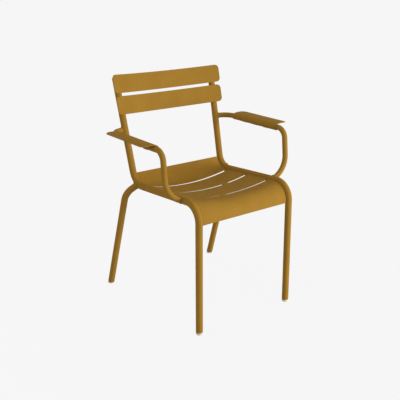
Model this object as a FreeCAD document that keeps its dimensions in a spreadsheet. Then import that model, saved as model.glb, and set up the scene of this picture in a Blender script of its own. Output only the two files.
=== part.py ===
"""Stacking garden armchair of bent tube and pressed sheet metal.

Millimetres. The chair stands on the plane Z = 0, faces -Y, and its two sides mirror each other
about X = 0. The origin is on the floor, midway between the front and rear feet.
"""
import FreeCAD
import Part
import Sketcher

import math
import os

from FreeCAD import Placement, Rotation, Vector

SIZES = (
    ("frame_tube_diameter", 25, "tube of the side frames and rear legs"),
    ("frame_tube_wall", 2, "its wall"),
    ("arm_tube_diameter", 20, "tube of the arms"),
    ("arm_tube_wall", 2, "its wall"),
    ("sheet_thickness", 2.5, "sheet of the slats and armrests"),
    ("weld_gap", 0.3, "gap left between two pieces before they are welded"),
    ("rail_spacing", 408.4, "between the axes of the two seat rails"),
    ("foot_spread", 538.1, "front leg axis to rear leg axis at the floor"),
    ("front_foot_splay", 2, "rail axis out to the front leg's axis at the floor"),
    ("rear_foot_splay", 48.5, "rail axis out to the rear leg's axis at the floor"),
    ("knee_height", 473.5, "floor to the corner between front leg and rail"),
    ("knee_setback", 6.5, "front foot back to that corner"),
    ("knee_radius", 62, "bend between front leg and rail"),
    ("rail_run", 395.9, "front corner to rear corner of the rail, level"),
    ("rail_drop", 28.7, "fall of the rail over that run"),
    ("hip_radius", 60, "bend between rail and back post"),
    ("back_recline", 13.96, "degrees the posts lean back"),
    ("back_splay", 2.06, "degrees each post leans outwards"),
    ("back_rise", 407.3, "rear corner of the rail to the top of the back, up the post"),
    ("post_stop", 12, "top of the back down to the end of the post"),
    ("rear_knee_inset", 6.9, "rear foot inwards to the corner of the rear leg"),
    ("rear_knee_advance", 131.6, "rear foot forward to that corner"),
    ("rear_knee_drop", 35.7, "rear leg's landing on the hip bend down to that corner"),
    ("rear_knee_radius", 72, "bend near the top of the rear leg"),
    ("rear_leg_reach", 27.6, "start of the hip bend to the rear leg's landing, along the bend"),
    ("arm_rise", 177.8, "arm's landing on the rail up to the axis of the level arm"),
    ("arm_overhang", 68.4, "rail axis out to the arm's axis"),
    ("arm_rear_stub", 12.2, "axis of the back post out to the arm's rear bend"),
    ("arm_front_setback", 113.3, "front foot back to the front corner of the arm"),
    ("arm_front_radius", 38, "bend at the front of the arm"),
    ("arm_stem_advance", 16.2, "front corner of the arm forward to its lower corner"),
    ("arm_foot_rise", 18.4, "arm's landing on the rail up to the lower corner of the arm"),
    ("arm_foot_stub", 6.2, "axis of the rail out to the arm's lower bend"),
    ("armrest_front_stop", 5.7, "arm's front bend back to the front edge of the armrest"),
    ("armrest_rear_stop", 0.5, "arm's rear bend forward to the rear edge of the armrest"),
    ("armrest_reach", 51.6, "axis of the arm out to the free edge of the armrest"),
    ("armrest_radius", 178.8, "hollow side of the armrest's arch"),
    ("armrest_crest", 9.1, "degrees inwards from the top of the tube where the arch meets the curl"),
    ("armrest_curl", 180, "degrees inwards from the top of the tube where the curl ends"),
    ("armrest_corner", 18, "rounding of the armrest's outer corners"),
    ("back_slat_height", 67.2, "height of each back slat"),
    ("back_slat_gap", 11.1, "gap between the back slats"),
    ("back_slat_overhang", 25.2, "axis of the back post out to the end of a back slat"),
    ("back_bow_radius", 720, "hollow side of the bowed back slats"),
    ("back_slat_corner", 15, "rounding of the back slats' corners"),
    ("seat_dish", 21.8, "how far the middle of the seat hangs below its sides"),
    ("seat_front_dish", 18.3, "the same at the front gap, where the seat is shallower"),
    ("seat_hem", 7.3, "straight hem of the front slat below the knee bend"),
    ("seat_front_girth", 136.7, "front slat from its hem to the front gap, along the side frame"),
    ("seat_front_gap", 7.5, "gap behind the front slat"),
    ("seat_front_middle_width", 109.5, "slat behind that gap, along the rail"),
    ("seat_middle_gap", 10, "gap between the two middle slats"),
    ("seat_rear_middle_width", 107.5, "next slat, along the rail"),
    ("seat_rear_gap", 13.5, "gap in front of the rear slat"),
    ("seat_rear_stop", 7.5, "rear slat's top edge to the end of the hip bend"),
    ("glide_height", 8, "floor to the end of the leg tube, along the leg"),
    ("plug_length", 22, "plug inside a tube end"),
    ("plug_clearance", 0.3, "gap around a plug"),
    ("cap_height", 3, "cap beyond the end of a post"),
    ("cap_rounding", 2, "rounded rim of that cap"),
    ("tube_bead", 2, "weld bead around a tube joint"),
    ("sheet_bead", 2.5, "radius of a weld bead beside a sheet"),
    ("stitch_length", 26, "length of a stitch weld"),
)
SIDES = (("left", -1), ("right", 1))
ACROSS = Vector(1, 0, 0)
REARWARD = Vector(0, 1, 0)
UPWARD = Vector(0, 0, 1)
LOFT_STATIONS = 13
SEAT_STITCHES = (0.25, 0.75)
ARMREST_STITCHES = (0.25, 0.5, 0.75)
STRAIGHT_ANGLE = 1e-6
QUARTER_TURN = 90

doc = FreeCAD.newDocument("garden_armchair")
sheet = doc.addObject("Spreadsheet::Sheet", "Sizes")
for row, (alias, value, meaning) in enumerate(SIZES, start=1):
    sheet.set(f"A{row}", meaning)
    sheet.set(f"B{row}", str(value))
    sheet.setAlias(f"B{row}", alias)
doc.recompute()


def size(alias):
    """Value of one cell of the sheet."""
    return float(sheet.get(alias))


def worked_out(expression):
    """Value of an expression over the sheet's cells."""
    return float(sheet.evalExpression(expression))


def cut(name, base, tool):
    """First object with the second taken away."""
    piece = doc.addObject("Part::Cut", name)
    piece.Base = base
    piece.Tool = tool
    return piece


def placed(position, across, along):
    """Placement whose local Y points across and whose local Z points along."""
    return Placement(position, Rotation(across.cross(along), across, along, "ZYX"))


# Paths of the bent tubes

front_foot_y = -size("foot_spread") / 2
rear_foot_y = size("foot_spread") / 2
knee_y = front_foot_y + size("knee_setback")
hip_y = knee_y + size("rail_run")
hip_z = size("knee_height") - size("rail_drop")
rail_x = size("rail_spacing") / 2
recline = math.radians(size("back_recline"))
back_up = Vector(0, math.sin(recline), math.cos(recline))
back_front = Vector(0, -math.cos(recline), math.sin(recline))
arm_x = rail_x + size("arm_overhang")
arm_front_y = front_foot_y + size("arm_front_setback")
arm_foot_y = arm_front_y - size("arm_stem_advance")
arm_foot_z = size("knee_height") - size("rail_drop") * (arm_foot_y - knee_y) / size("rail_run")
arm_z = arm_foot_z + size("arm_rise")


def bent_path(name, corners, radii):
    """Centre line of straight runs, with an arc of the given radius at each inner corner."""
    edges = []
    start = corners[0]
    for before, corner, after, radius in zip(corners, corners[1:], corners[2:], radii):
        back = (before - corner).normalize()
        ahead = (after - corner).normalize()
        half_turn = (math.pi - back.getAngle(ahead)) / 2
        reach = radius * math.tan(half_turn)
        middle = (back + ahead).normalize() * (radius / math.cos(half_turn) - radius)
        edges.append(Part.LineSegment(start, corner + back * reach).toShape())
        edges.append(Part.Arc(corner + back * reach, corner + middle, corner + ahead * reach).toShape())
        start = corner + ahead * reach
    edges.append(Part.LineSegment(start, corners[-1]).toShape())
    path = doc.addObject("Part::Feature", name)
    path.Shape = Part.Wire(edges)
    return path


def bend_radius(corner, before, end, stub):
    """Radius of the bend at a corner that leaves a straight stub at the path's end."""
    half_turn = (math.pi - (before - corner).getAngle(end - corner)) / 2
    return ((end - corner).Length - stub) / math.tan(half_turn)


def station(path, distance):
    """Point on a path and the path's direction there, at a distance along it."""
    for edge in path.Shape.Edges:
        if distance <= edge.Length:
            break
        distance -= edge.Length
    at = edge.getParameterByLength(min(distance, edge.Length))
    return edge.valueAt(at), edge.tangentAt(at)


def post_point(side, rise):
    """Point on the axis of a back post, at a rise up the back from the rear corner of the rail."""
    outwards = rise * math.cos(recline) * math.tan(math.radians(size("back_splay")))
    return Vector(side * (rail_x + outwards), hip_y, hip_z) + back_up * rise


def tube_end(foot, corner):
    """Lower end of a leg tube, where its glide begins."""
    return foot + (corner - foot).normalize() * size("glide_height")


def side_frame_path(word, side):
    """Front leg, knee bend, rail, hip bend and back post."""
    foot = Vector(side * (rail_x + size("front_foot_splay")), front_foot_y, 0)
    knee = Vector(side * rail_x, knee_y, size("knee_height"))
    hip = Vector(side * rail_x, hip_y, hip_z)
    top = post_point(side, size("back_rise") - size("post_stop"))
    radii = [size("knee_radius"), size("hip_radius")]
    return bent_path(f"side_frame_{word}_path", [tube_end(foot, knee), knee, hip, top], radii)


def rear_leg_path(word, side, frame_path):
    """Rear leg from the floor to its landing on the hip bend."""
    foot_x = rail_x + size("rear_foot_splay")
    foot = Vector(side * foot_x, rear_foot_y, 0)
    before_hip = sum(edge.Length for edge in frame_path.Shape.Edges[:3])
    landing = station(frame_path, before_hip + size("rear_leg_reach"))[0]
    knee = Vector(side * (foot_x - size("rear_knee_inset")), rear_foot_y - size("rear_knee_advance"),
                  landing.z - size("rear_knee_drop"))
    radii = [size("rear_knee_radius")]
    return bent_path(f"rear_leg_{word}_path", [tube_end(foot, knee), knee, landing], radii)


def arm_path(word, side):
    """Arm from the back post out, forward, down and in to the seat rail."""
    start = post_point(side, (arm_z - hip_z) / math.cos(recline))
    corners = [start,
               Vector(side * arm_x, start.y, arm_z),
               Vector(side * arm_x, arm_front_y, arm_z),
               Vector(side * arm_x, arm_foot_y, arm_foot_z + size("arm_foot_rise")),
               Vector(side * rail_x, arm_foot_y, arm_foot_z)]
    radii = [bend_radius(corners[1], corners[2], start, size("arm_rear_stub")),
             size("arm_front_radius"),
             bend_radius(corners[3], corners[2], corners[4], size("arm_foot_stub"))]
    return bent_path(f"arm_tube_{word}_path", corners, radii)


# Tubes


def rod(name, path, radius):
    """Solid round rod along a path; the radius is an expression over the sheet."""
    first = path.Shape.Edges[0]
    begin = first.FirstParameter
    section = doc.addObject("Part::Circle", f"{name}_section")
    section.setExpression("Radius", radius)
    section.Placement = Placement(first.valueAt(begin), Rotation(UPWARD, first.tangentAt(begin)))
    sweep = doc.addObject("Part::Sweep", name)
    sweep.Sections = [section]
    sweep.Spine = (path, [f"Edge{number}" for number in range(1, len(path.Shape.Edges) + 1)])
    sweep.Solid = True
    return sweep


def tube(name, path, stock):
    """Hollow tube of one stock along a path."""
    outside = rod(f"{name}_outside", path, f"Sizes.{stock}_diameter / 2")
    bore = rod(f"{name}_bore", path, f"Sizes.{stock}_diameter / 2 - Sizes.{stock}_wall")
    return cut(name, outside, bore)


def notched_tube(name, path, stock, outline):
    """Hollow tube whose ends are cut away where they meet another tube's outline."""
    return cut(name, tube(f"{name}_plain", path, stock), outline)


# Plugs in the tube ends


def tube_plug(name, head_length, end, inward):
    """Body turned about the tube's axis: a head flush with the tube and a plug inside it.

    The head's length is an expression over the sheet, end is the middle of the tube's end, and
    inward points into the tube.
    """
    head = "Sizes.frame_tube_diameter / 2"
    plug = f"{head} - Sizes.frame_tube_wall - Sizes.plug_clearance"
    top = f"{head_length} + Sizes.plug_length"
    corners = ((None, None), (head, None), (head, head_length), (plug, head_length), (plug, top), (None, top))

    body = doc.addObject("PartDesign::Body", name)
    plane = next(feature for feature in body.Origin.OriginFeatures if feature.Role == "XZ_Plane")
    outline = body.newObject("Sketcher::SketchObject", f"{name}_outline")
    outline.AttachmentSupport = [(plane, "")]
    outline.MapMode = "FlatFace"
    points = [Vector(*(worked_out(entry) if entry else 0 for entry in corner)) for corner in corners]
    for begin, finish in zip(points, points[1:] + points[:1]):
        outline.addGeometry(Part.LineSegment(begin, finish))
    start, finish = 1, 2
    origin = (-1, 1)
    for line, (x, y) in enumerate(corners):
        previous = (line - 1) % len(corners)
        outline.addConstraint(Sketcher.Constraint("Coincident", previous, finish, line, start))
        for kind, entry, axis in (("DistanceX", x, -2), ("DistanceY", y, -1)):
            if entry is None:
                outline.addConstraint(Sketcher.Constraint("PointOnObject", line, start, axis))
            else:
                measure = Sketcher.Constraint(kind, *origin, line, start, worked_out(entry))
                index = outline.addConstraint(measure)
                outline.setExpression(f"Constraints[{index}]", entry)

    turned = body.newObject("PartDesign::Revolution", f"{name}_turned")
    turned.Profile = outline
    turned.ReferenceAxis = (outline, ["V_Axis"])
    turned.Angle = 360
    body.Tip = turned
    body.Placement = Placement(end - inward * worked_out(head_length), Rotation(UPWARD, inward))
    return body


def foot_glide(name, path, floor):
    """Plug with a head that is cut level with the floor."""
    end, inward = station(path, 0)
    return cut(name, tube_plug(f"{name}_plug", "2 * Sizes.glide_height", end, inward), floor)


def post_cap(name, path):
    """Plug with a rounded head that closes the top of a back post."""
    end, outward = station(path, path.Shape.Length)
    body = tube_plug(name, "Sizes.cap_height", end, -outward)
    doc.recompute()
    turned = body.Tip
    rim = [f"Edge{number}" for number, edge in enumerate(turned.Shape.Edges, start=1)
           if edge.Closed and abs(edge.BoundBox.ZMax) < size("plug_clearance")]
    rounding = body.newObject("PartDesign::Fillet", f"{name}_rim")
    rounding.Base = (turned, rim)
    rounding.setExpression("Radius", "Sizes.cap_rounding")
    body.Tip = rounding
    return body


# Sheet pieces


def rolled_sheet(name, radius, chord, length, placement):
    """Body of sheet rolled about its own Z axis and lying on the +Y side of it.

    Expressions give the radius of its hollow side, its straight width and its length along the axis.
    """
    body = doc.addObject("PartDesign::Body", name)
    plane = next(feature for feature in body.Origin.OriginFeatures if feature.Role == "XY_Plane")
    outline = body.newObject("Sketcher::SketchObject", f"{name}_outline")
    outline.AttachmentSupport = [(plane, "")]
    outline.MapMode = "FlatFace"
    half = worked_out(chord) / 2
    radii = (worked_out(radius), worked_out(radius) + size("sheet_thickness"))
    ends = []
    for arc_radius in radii:
        lean = math.asin(half / arc_radius)
        circle = Part.Circle(Vector(), UPWARD, arc_radius)
        outline.addGeometry(Part.ArcOfCircle(circle, math.pi / 2 - lean, math.pi / 2 + lean))
        ends.append(arc_radius * math.cos(lean))
    for x in (half, -half):
        outline.addGeometry(Part.LineSegment(Vector(x, ends[0]), Vector(x, ends[1])))

    inner, outer, right_end, left_end = range(4)
    start, finish, centre = 1, 2, 3
    origin = (-1, 1)
    for arc in (inner, outer):
        outline.addConstraint(Sketcher.Constraint("Coincident", arc, centre, *origin))
    for line, arc_point in ((right_end, start), (left_end, finish)):
        outline.addConstraint(Sketcher.Constraint("Coincident", line, start, inner, arc_point))
        outline.addConstraint(Sketcher.Constraint("Coincident", line, finish, outer, arc_point))
        outline.addConstraint(Sketcher.Constraint("Vertical", line))
    measures = (
        (Sketcher.Constraint("Radius", inner, radii[0]), radius),
        (Sketcher.Constraint("Radius", outer, radii[1]), f"{radius} + Sizes.sheet_thickness"),
        (Sketcher.Constraint("DistanceX", *origin, inner, start, half), f"({chord}) / 2"),
        (Sketcher.Constraint("DistanceX", inner, finish, *origin, half), f"({chord}) / 2"),
    )
    for measure, expression in measures:
        index = outline.addConstraint(measure)
        outline.setExpression(f"Constraints[{index}]", expression)

    pad = body.newObject("PartDesign::Pad", f"{name}_pad")
    pad.Profile = outline
    pad.setExpression("Length", length)
    body.Tip = pad
    body.Placement = placement
    return body


def trimmed(name, bent, extents, start, square_before, corner_radius, placement):
    """Bent sheet kept inside a block whose edges along Y are rounded, if they lie beyond one X.

    Expressions give the block's extents and its rounding; start is its lowest corner.
    """
    blank = doc.addObject("PartDesign::Body", f"{name}_blank")
    block = blank.newObject("PartDesign::AdditiveBox", f"{name}_block")
    for extent, expression in zip(("Length", "Width", "Height"), extents):
        block.setExpression(extent, expression)
    block.Placement.Base = start
    doc.recompute()
    boxes = enumerate((edge.BoundBox for edge in block.Shape.Edges), start=1)
    corners = [f"Edge{number}" for number, box in boxes
               if 2 * box.YLength > box.DiagonalLength and box.XMin > square_before]
    rounding = blank.newObject("PartDesign::Fillet", f"{name}_corners")
    rounding.Base = (block, corners)
    rounding.setExpression("Radius", corner_radius)
    blank.Tip = rounding
    blank.Placement = placement
    piece = doc.addObject("Part::Common", name)
    piece.Base = bent
    piece.Tool = blank
    return piece


def bow_axis(bottom):
    """Point on the axis that a back slat bows around, level with the slat's bottom edge."""
    hollow_to_post = size("sheet_thickness") + size("weld_gap") + size("frame_tube_diameter") / 2
    post_distance = size("back_bow_radius") + hollow_to_post
    forward = math.sqrt(post_distance ** 2 - post_point(1, bottom).x ** 2)
    return Vector(0, hip_y, hip_z) + back_up * bottom + back_front * forward


def back_slat(name, bottom):
    """Bowed slat against the fronts of the posts; its bottom's rise is an expression over the sheet."""
    up_the_back = f"({bottom} + Sizes.back_slat_height / 2) * cos(Sizes.back_recline * 1 deg)"
    post_x = f"Sizes.rail_spacing / 2 + {up_the_back} * tan(Sizes.back_splay * 1 deg)"
    chord = f"2 * ({post_x} + Sizes.back_slat_overhang)"
    radius = "Sizes.back_bow_radius"
    height = "Sizes.back_slat_height"
    placement = placed(bow_axis(worked_out(bottom)), -back_front, back_up)
    rolled = rolled_sheet(f"{name}_rolled", radius, chord, height, placement)
    extents = (chord, f"{radius} + 2 * Sizes.sheet_thickness", height)
    start = ACROSS * (-worked_out(chord) / 2)
    return trimmed(name, rolled, extents, start, 2 * start.x, "Sizes.back_slat_corner", placement)


SNUG = "(Sizes.arm_tube_diameter / 2 + Sizes.weld_gap)"
CURL_SWEEP = "(Sizes.armrest_curl - Sizes.armrest_crest)"
ARCH_SWEEP = "(Sizes.armrest_crest + asin(Sizes.armrest_reach / Sizes.armrest_radius) / 1 deg)"


def armrest_span(arm):
    """Point on the arm's axis at the armrest's front edge, and the armrest's length."""
    straight = arm.Shape.Edges[2]
    front_stop = size("armrest_front_stop")
    front = min((vertex.Point for vertex in straight.Vertexes), key=lambda point: point.y)
    return front + REARWARD * front_stop, straight.Length - front_stop - size("armrest_rear_stop")


def bent_strip(name, radius, sweep, length, centre, begin, placement):
    """Sheet bent about an axis along Z, counterclockwise from one angle in degrees.

    Expressions give the radius of its hollow side, its sweep in degrees and its length.
    """
    bent = []
    for word, reach in (("outside", f"{radius} + Sizes.sheet_thickness"), ("inside", radius)):
        solid = doc.addObject("Part::Cylinder", f"{name}_{word}")
        solid.setExpression("Radius", reach)
        solid.setExpression("Height", length)
        solid.Placement = placement * Placement(centre, Rotation(UPWARD, begin))
        bent.append(solid)
    outside, inside = bent
    outside.setExpression("Angle", sweep)
    return cut(name, outside, inside)


def armrest(name, side, arm):
    """Sheet that curls round the inner side of the arm tube and arches out over its top."""
    front, run = armrest_span(arm)
    length = f"{run} mm"
    begin = front if side < 0 else front + REARWARD * run
    placement = placed(begin, UPWARD, REARWARD * -side)
    crest = QUARTER_TURN + size("armrest_crest")
    lean = math.radians(crest)
    arch_centre = Vector(math.cos(lean), math.sin(lean)) * (worked_out(SNUG) - size("armrest_radius"))
    bent = doc.addObject("Part::Fuse", f"{name}_bent")
    bent.Base = bent_strip(f"{name}_curl", SNUG, CURL_SWEEP, length, Vector(), crest, placement)
    bent.Tool = bent_strip(f"{name}_arch", "Sizes.armrest_radius", ARCH_SWEEP, length, arch_centre,
                           crest - worked_out(ARCH_SWEEP), placement)
    clear = f"({SNUG} + 2 * Sizes.sheet_thickness)"
    extents = (f"{clear} + Sizes.armrest_reach", f"{clear} + Sizes.armrest_reach", length)
    start = Vector(-worked_out(clear), -worked_out(clear))
    return trimmed(name, bent, extents, start, 0, "Sizes.armrest_corner", placement)


SEAT_HALF = "(Sizes.rail_spacing / 2 - Sizes.frame_tube_diameter / 2 - Sizes.weld_gap)"
SEAT_RADIUS = f"({SEAT_HALF} ^ 2 + Sizes.seat_dish ^ 2) / (2 * Sizes.seat_dish)"


def sitting_side(direction):
    """Normal of the seat, towards the sitter, where the side frame runs in a direction."""
    return Vector(0, -direction.z, direction.y).normalize()


def evenly_dished_slat(name, path, begin, width):
    """Slat with one dish on the straight of the rails; its width is an expression over the sheet."""
    point, along = station(path, begin)
    normal = sitting_side(along)
    lift = size("sheet_thickness") / 2 + worked_out(SEAT_RADIUS) - size("seat_dish")
    position = Vector(0, point.y, point.z) + normal * lift
    return rolled_sheet(name, SEAT_RADIUS, f"2 * {SEAT_HALF}", width, placed(position, -normal, along))


def seat_section(name, path, distance, dish):
    """Closed outline of the seat sheet across the chair, at a distance along the side frame."""
    point, along = station(path, distance)
    normal = sitting_side(along)
    middle = Vector(0, point.y, point.z)
    half = point.x - size("frame_tube_diameter") / 2 - size("weld_gap")
    surfaces = []
    for offset in (size("sheet_thickness") / 2, -size("sheet_thickness") / 2):
        curve = Part.BezierCurve()
        curve.setPoles([middle - ACROSS * half + normal * offset,
                        middle + normal * (offset - 2 * dish),
                        middle + ACROSS * half + normal * offset])
        surfaces.append(curve.toShape())
    top, bottom = surfaces
    ends = [Part.LineSegment(above.Point, below.Point).toShape()
            for above, below in zip(top.Vertexes, bottom.Vertexes)]
    section = doc.addObject("Part::Feature", name)
    section.Shape = Part.Wire([top, ends[1], bottom, ends[0]])
    return section


def deepening_slat(name, path, shallow_edge, deep_edge, shallow_dish, deep_dish):
    """Slat that follows the side frames while its dish deepens from one edge to the other."""
    sections = []
    for number in range(LOFT_STATIONS):
        share = number / (LOFT_STATIONS - 1)
        dish = shallow_dish + (deep_dish - shallow_dish) * (1 - math.cos(math.pi * share)) / 2
        distance = shallow_edge + (deep_edge - shallow_edge) * share
        sections.append(seat_section(f"{name}_section_{number}", path, distance, dish))
    loft = doc.addObject("Part::Loft", name)
    loft.Sections = sections
    loft.Solid = True
    return loft


# Weld beads


def bead_along(points, radius):
    """Round bead through three points."""
    first, middle, last = points
    bend = (middle - first).getAngle(last - middle)
    if bend < STRAIGHT_ANGLE:
        edge = Part.LineSegment(first, last).toShape()
    else:
        edge = Part.Arc(first, middle, last).toShape()
    ring = Part.makeCircle(radius, first, edge.tangentAt(edge.FirstParameter))
    return Part.Wire([edge]).makePipeShell([Part.Wire([ring])], True, True)


def crevice(axis_point, contact, lateral, radius):
    """Middles of the beads on both sides of the line where a tube touches a sheet."""
    bead = size("sheet_bead")
    depth = radius + size("weld_gap") - bead / 2
    aside = math.sqrt((radius + bead / 2) ** 2 - depth ** 2)
    return [axis_point + contact * depth + lateral * (sign * aside) for sign in (-1, 1)]


def stretch(centre, reach):
    """Distances of the two ends and the middle of a stitch weld, in order."""
    return [centre - reach / 2, centre, centre + reach / 2]


def weld_group(name, beads):
    """One node for beads of a kind, each a solid of its own."""
    group = doc.addObject("Part::Feature", name)
    group.Shape = Part.makeCompound([solid for bead in beads for solid in bead.Solids])
    return group


def collar(branch_path, branch_radius, frame_path):
    """Weld bead around the ends of a branch tube on the side frame."""
    frame_radius = size("frame_tube_diameter") / 2
    thick_and_bare = []
    for extra in (size("tube_bead"), 0):
        for path, radius in ((branch_path, branch_radius), (frame_path, frame_radius)):
            first = path.Shape.Edges[0]
            begin = first.FirstParameter
            ring = Part.makeCircle(radius + extra, first.valueAt(begin), first.tangentAt(begin))
            thick_and_bare.append(path.Shape.makePipeShell([Part.Wire([ring])], True, True))
    thick_branch, thick_frame, branch, frame = thick_and_bare
    return thick_branch.common(thick_frame).cut([branch, frame])


def seat_stitches(path, side, slat, begin, finish, frame_rod):
    """Beads under one end of a seat slat, in the corner between the sheet and the side frame."""
    beads = []
    for share in SEAT_STITCHES:
        points = []
        for distance in stretch(begin + (finish - begin) * share, size("stitch_length")):
            point, along = station(path, distance)
            inside = size("frame_tube_diameter") / 2 + size("weld_gap")
            below = (size("sheet_thickness") + size("sheet_bead")) / 2
            points.append(point - ACROSS * (side * inside) - sitting_side(along) * below)
        beads.append(bead_along(points, size("sheet_bead")).cut([slat.Shape, frame_rod.Shape]))
    return beads


def back_stitches(side, slat, bottom, frame_rod):
    """Beads behind a back slat, on both sides of one post."""
    lines = ([], [])
    for rise in stretch(bottom + size("back_slat_height") / 2, size("stitch_length")):
        axis_point = post_point(side, rise)
        contact = bow_axis(bottom) + back_up * (rise - bottom) - axis_point
        contact.normalize()
        places = crevice(axis_point, contact, contact.cross(back_up), size("frame_tube_diameter") / 2)
        for line, place in zip(lines, places):
            line.append(place)
    return [bead_along(line, size("sheet_bead")).cut([slat.Shape, frame_rod.Shape]) for line in lines]


def around_tube(side, degrees):
    """Direction from the axis of an arm tube, at an angle inwards from the tube's top."""
    angle = math.radians(degrees)
    return Vector(-side * math.sin(angle), 0, math.cos(angle))


def armrest_stitches(side, plate, arm, arm_rod):
    """Beads between an armrest and its tube: under the arch, and along the end of the curl."""
    front, run = armrest_span(arm)
    radius = size("arm_tube_diameter") / 2
    crest = around_tube(side, size("armrest_crest"))
    outward = crest.cross(REARWARD) * -side
    curl_end = around_tube(side, size("armrest_curl")) * (worked_out(SNUG) + size("sheet_thickness") / 2)
    beads = []
    for share in ARMREST_STITCHES:
        points = [front + REARWARD * distance for distance in stretch(run * share, size("stitch_length"))]
        under_arch = [crevice(point, crest, outward, radius)[1] for point in points]
        for line in (under_arch, [point + curl_end for point in points]):
            beads.append(bead_along(line, size("sheet_bead")).cut([plate.Shape, arm_rod.Shape]))
    return beads


# The chair

floor = doc.addObject("Part::Box", "floor")
for extent, across in (("Length", "Sizes.rail_spacing"), ("Width", "Sizes.foot_spread")):
    floor.setExpression(extent, f"2 * {across}")
floor.setExpression("Height", "2 * Sizes.glide_height")
floor.Placement.Base = Vector(-size("rail_spacing"), -size("foot_spread"), -2 * size("glide_height"))

nodes = []
paths = {}
rods = {}
for word, side in SIDES:
    frame_path = side_frame_path(word, side)
    leg_path = rear_leg_path(word, side, frame_path)
    arm = arm_path(word, side)
    outline = rod(f"notch_{word}", frame_path, "Sizes.frame_tube_diameter / 2 + Sizes.weld_gap")
    nodes += [
        tube(f"side_frame_{word}", frame_path, "frame_tube"),
        notched_tube(f"rear_leg_{word}", leg_path, "frame_tube", outline),
        notched_tube(f"arm_tube_{word}", arm, "arm_tube", outline),
        foot_glide(f"foot_glide_front_{word}", frame_path, floor),
        foot_glide(f"foot_glide_rear_{word}", leg_path, floor),
        post_cap(f"post_cap_{word}", frame_path),
    ]
    paths[word] = (frame_path, leg_path, arm)
    rod_names = (f"side_frame_{word}_outside", f"arm_tube_{word}_plain_outside")
    rods[word] = [doc.getObject(name) for name in rod_names]
armrests = {word: armrest(f"armrest_{word}", side, paths[word][2]) for word, side in SIDES}

upper_bottom = "(Sizes.back_rise - Sizes.back_slat_height)"
lower_bottom = f"({upper_bottom} - Sizes.back_slat_gap - Sizes.back_slat_height)"
back_slats = [
    (back_slat("back_slat_upper", upper_bottom), worked_out(upper_bottom)),
    (back_slat("back_slat_lower", lower_bottom), worked_out(lower_bottom)),
]

right_path = paths["right"][0]
leg_run, knee_bend, rail, hip_bend = (edge.Length for edge in right_path.Shape.Edges[:4])
seat_front = leg_run - size("seat_hem")
front_end = seat_front + size("seat_front_girth")
front_middle = front_end + size("seat_front_gap")
front_middle_end = front_middle + size("seat_front_middle_width")
rear_middle = front_middle_end + size("seat_middle_gap")
rear_middle_end = rear_middle + size("seat_rear_middle_width")
rear_begin = rear_middle_end + size("seat_rear_gap")
seat_rear = leg_run + knee_bend + rail + hip_bend - size("seat_rear_stop")
front_dish = size("seat_front_dish")
full_dish = size("seat_dish")
seat_slats = [
    (deepening_slat("seat_slat_front", right_path, seat_front, front_end, 0, front_dish),
     seat_front, front_end),
    (deepening_slat("seat_slat_front_middle", right_path, front_middle, front_middle_end,
                    front_dish, full_dish),
     front_middle, front_middle_end),
    (evenly_dished_slat("seat_slat_rear_middle", right_path, rear_middle, "Sizes.seat_rear_middle_width"),
     rear_middle, rear_middle_end),
    (deepening_slat("seat_slat_rear", right_path, seat_rear, rear_begin, 0, full_dish),
     rear_begin, seat_rear),
]
nodes += list(armrests.values())
nodes += [slat for slat, _ in back_slats]
nodes += [slat for slat, _, _ in seat_slats]
doc.recompute()

arm_beads = []
leg_beads = []
seat_beads = []
back_beads = []
armrest_beads = []
for word, side in SIDES:
    frame_path, leg_path, arm = paths[word]
    frame_rod, arm_rod = rods[word]
    arm_beads.append(collar(arm, size("arm_tube_diameter") / 2, frame_path))
    leg_beads.append(collar(leg_path, size("frame_tube_diameter") / 2, frame_path))
    for slat, begin, finish in seat_slats:
        seat_beads += seat_stitches(frame_path, side, slat, begin, finish, frame_rod)
    for slat, bottom in back_slats:
        back_beads += back_stitches(side, slat, bottom, frame_rod)
    armrest_beads += armrest_stitches(side, armrests[word], arm, arm_rod)
nodes += [
    weld_group("weld_beads_arms", arm_beads),
    weld_group("weld_beads_rear_legs", leg_beads),
    weld_group("weld_beads_seat", seat_beads),
    weld_group("weld_beads_back", back_beads),
    weld_group("weld_beads_armrests", armrest_beads),
]
doc.recompute()

for item in doc.Objects:
    if "Invalid" in item.State or "Error" in item.State:
        raise RuntimeError(f"{item.Label} did not build: {item.State}")
os.makedirs("parts", exist_ok=True)
for node in nodes:
    if node.Shape.isNull() or not node.Shape.isValid():
        raise RuntimeError(f"{node.Label} has no valid shape")
    node.Shape.exportStep(f"parts/{node.Label}.step")
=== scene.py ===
"""Garden armchair of bent tube and pressed sheet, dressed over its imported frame.

Metres, with the floor at Z = 0 and the sitter facing -Y. The two sides mirror each other about X = 0.
"""

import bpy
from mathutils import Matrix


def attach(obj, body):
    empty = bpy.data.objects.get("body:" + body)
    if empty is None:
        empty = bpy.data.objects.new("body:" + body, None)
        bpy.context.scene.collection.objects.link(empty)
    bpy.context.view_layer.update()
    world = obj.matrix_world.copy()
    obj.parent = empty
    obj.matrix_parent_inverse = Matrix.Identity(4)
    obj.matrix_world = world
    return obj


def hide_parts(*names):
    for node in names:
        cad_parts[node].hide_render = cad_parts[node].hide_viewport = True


bl_info = {
    "name": "Garden Armchair",
    "version": (1, 0, 0),
    "blender": (4, 5, 0),
    "location": "View3D > Sidebar > Armchair",
    "description": "Coated tubes, pressed slats, weld beads and floor glides of a stacking garden armchair",
    "category": "Add Mesh",
}

import math

import bmesh
import bpy
import numpy as np
from bpy.props import FloatProperty, FloatVectorProperty, PointerProperty
from mathutils import Euler, Matrix, Vector

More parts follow.
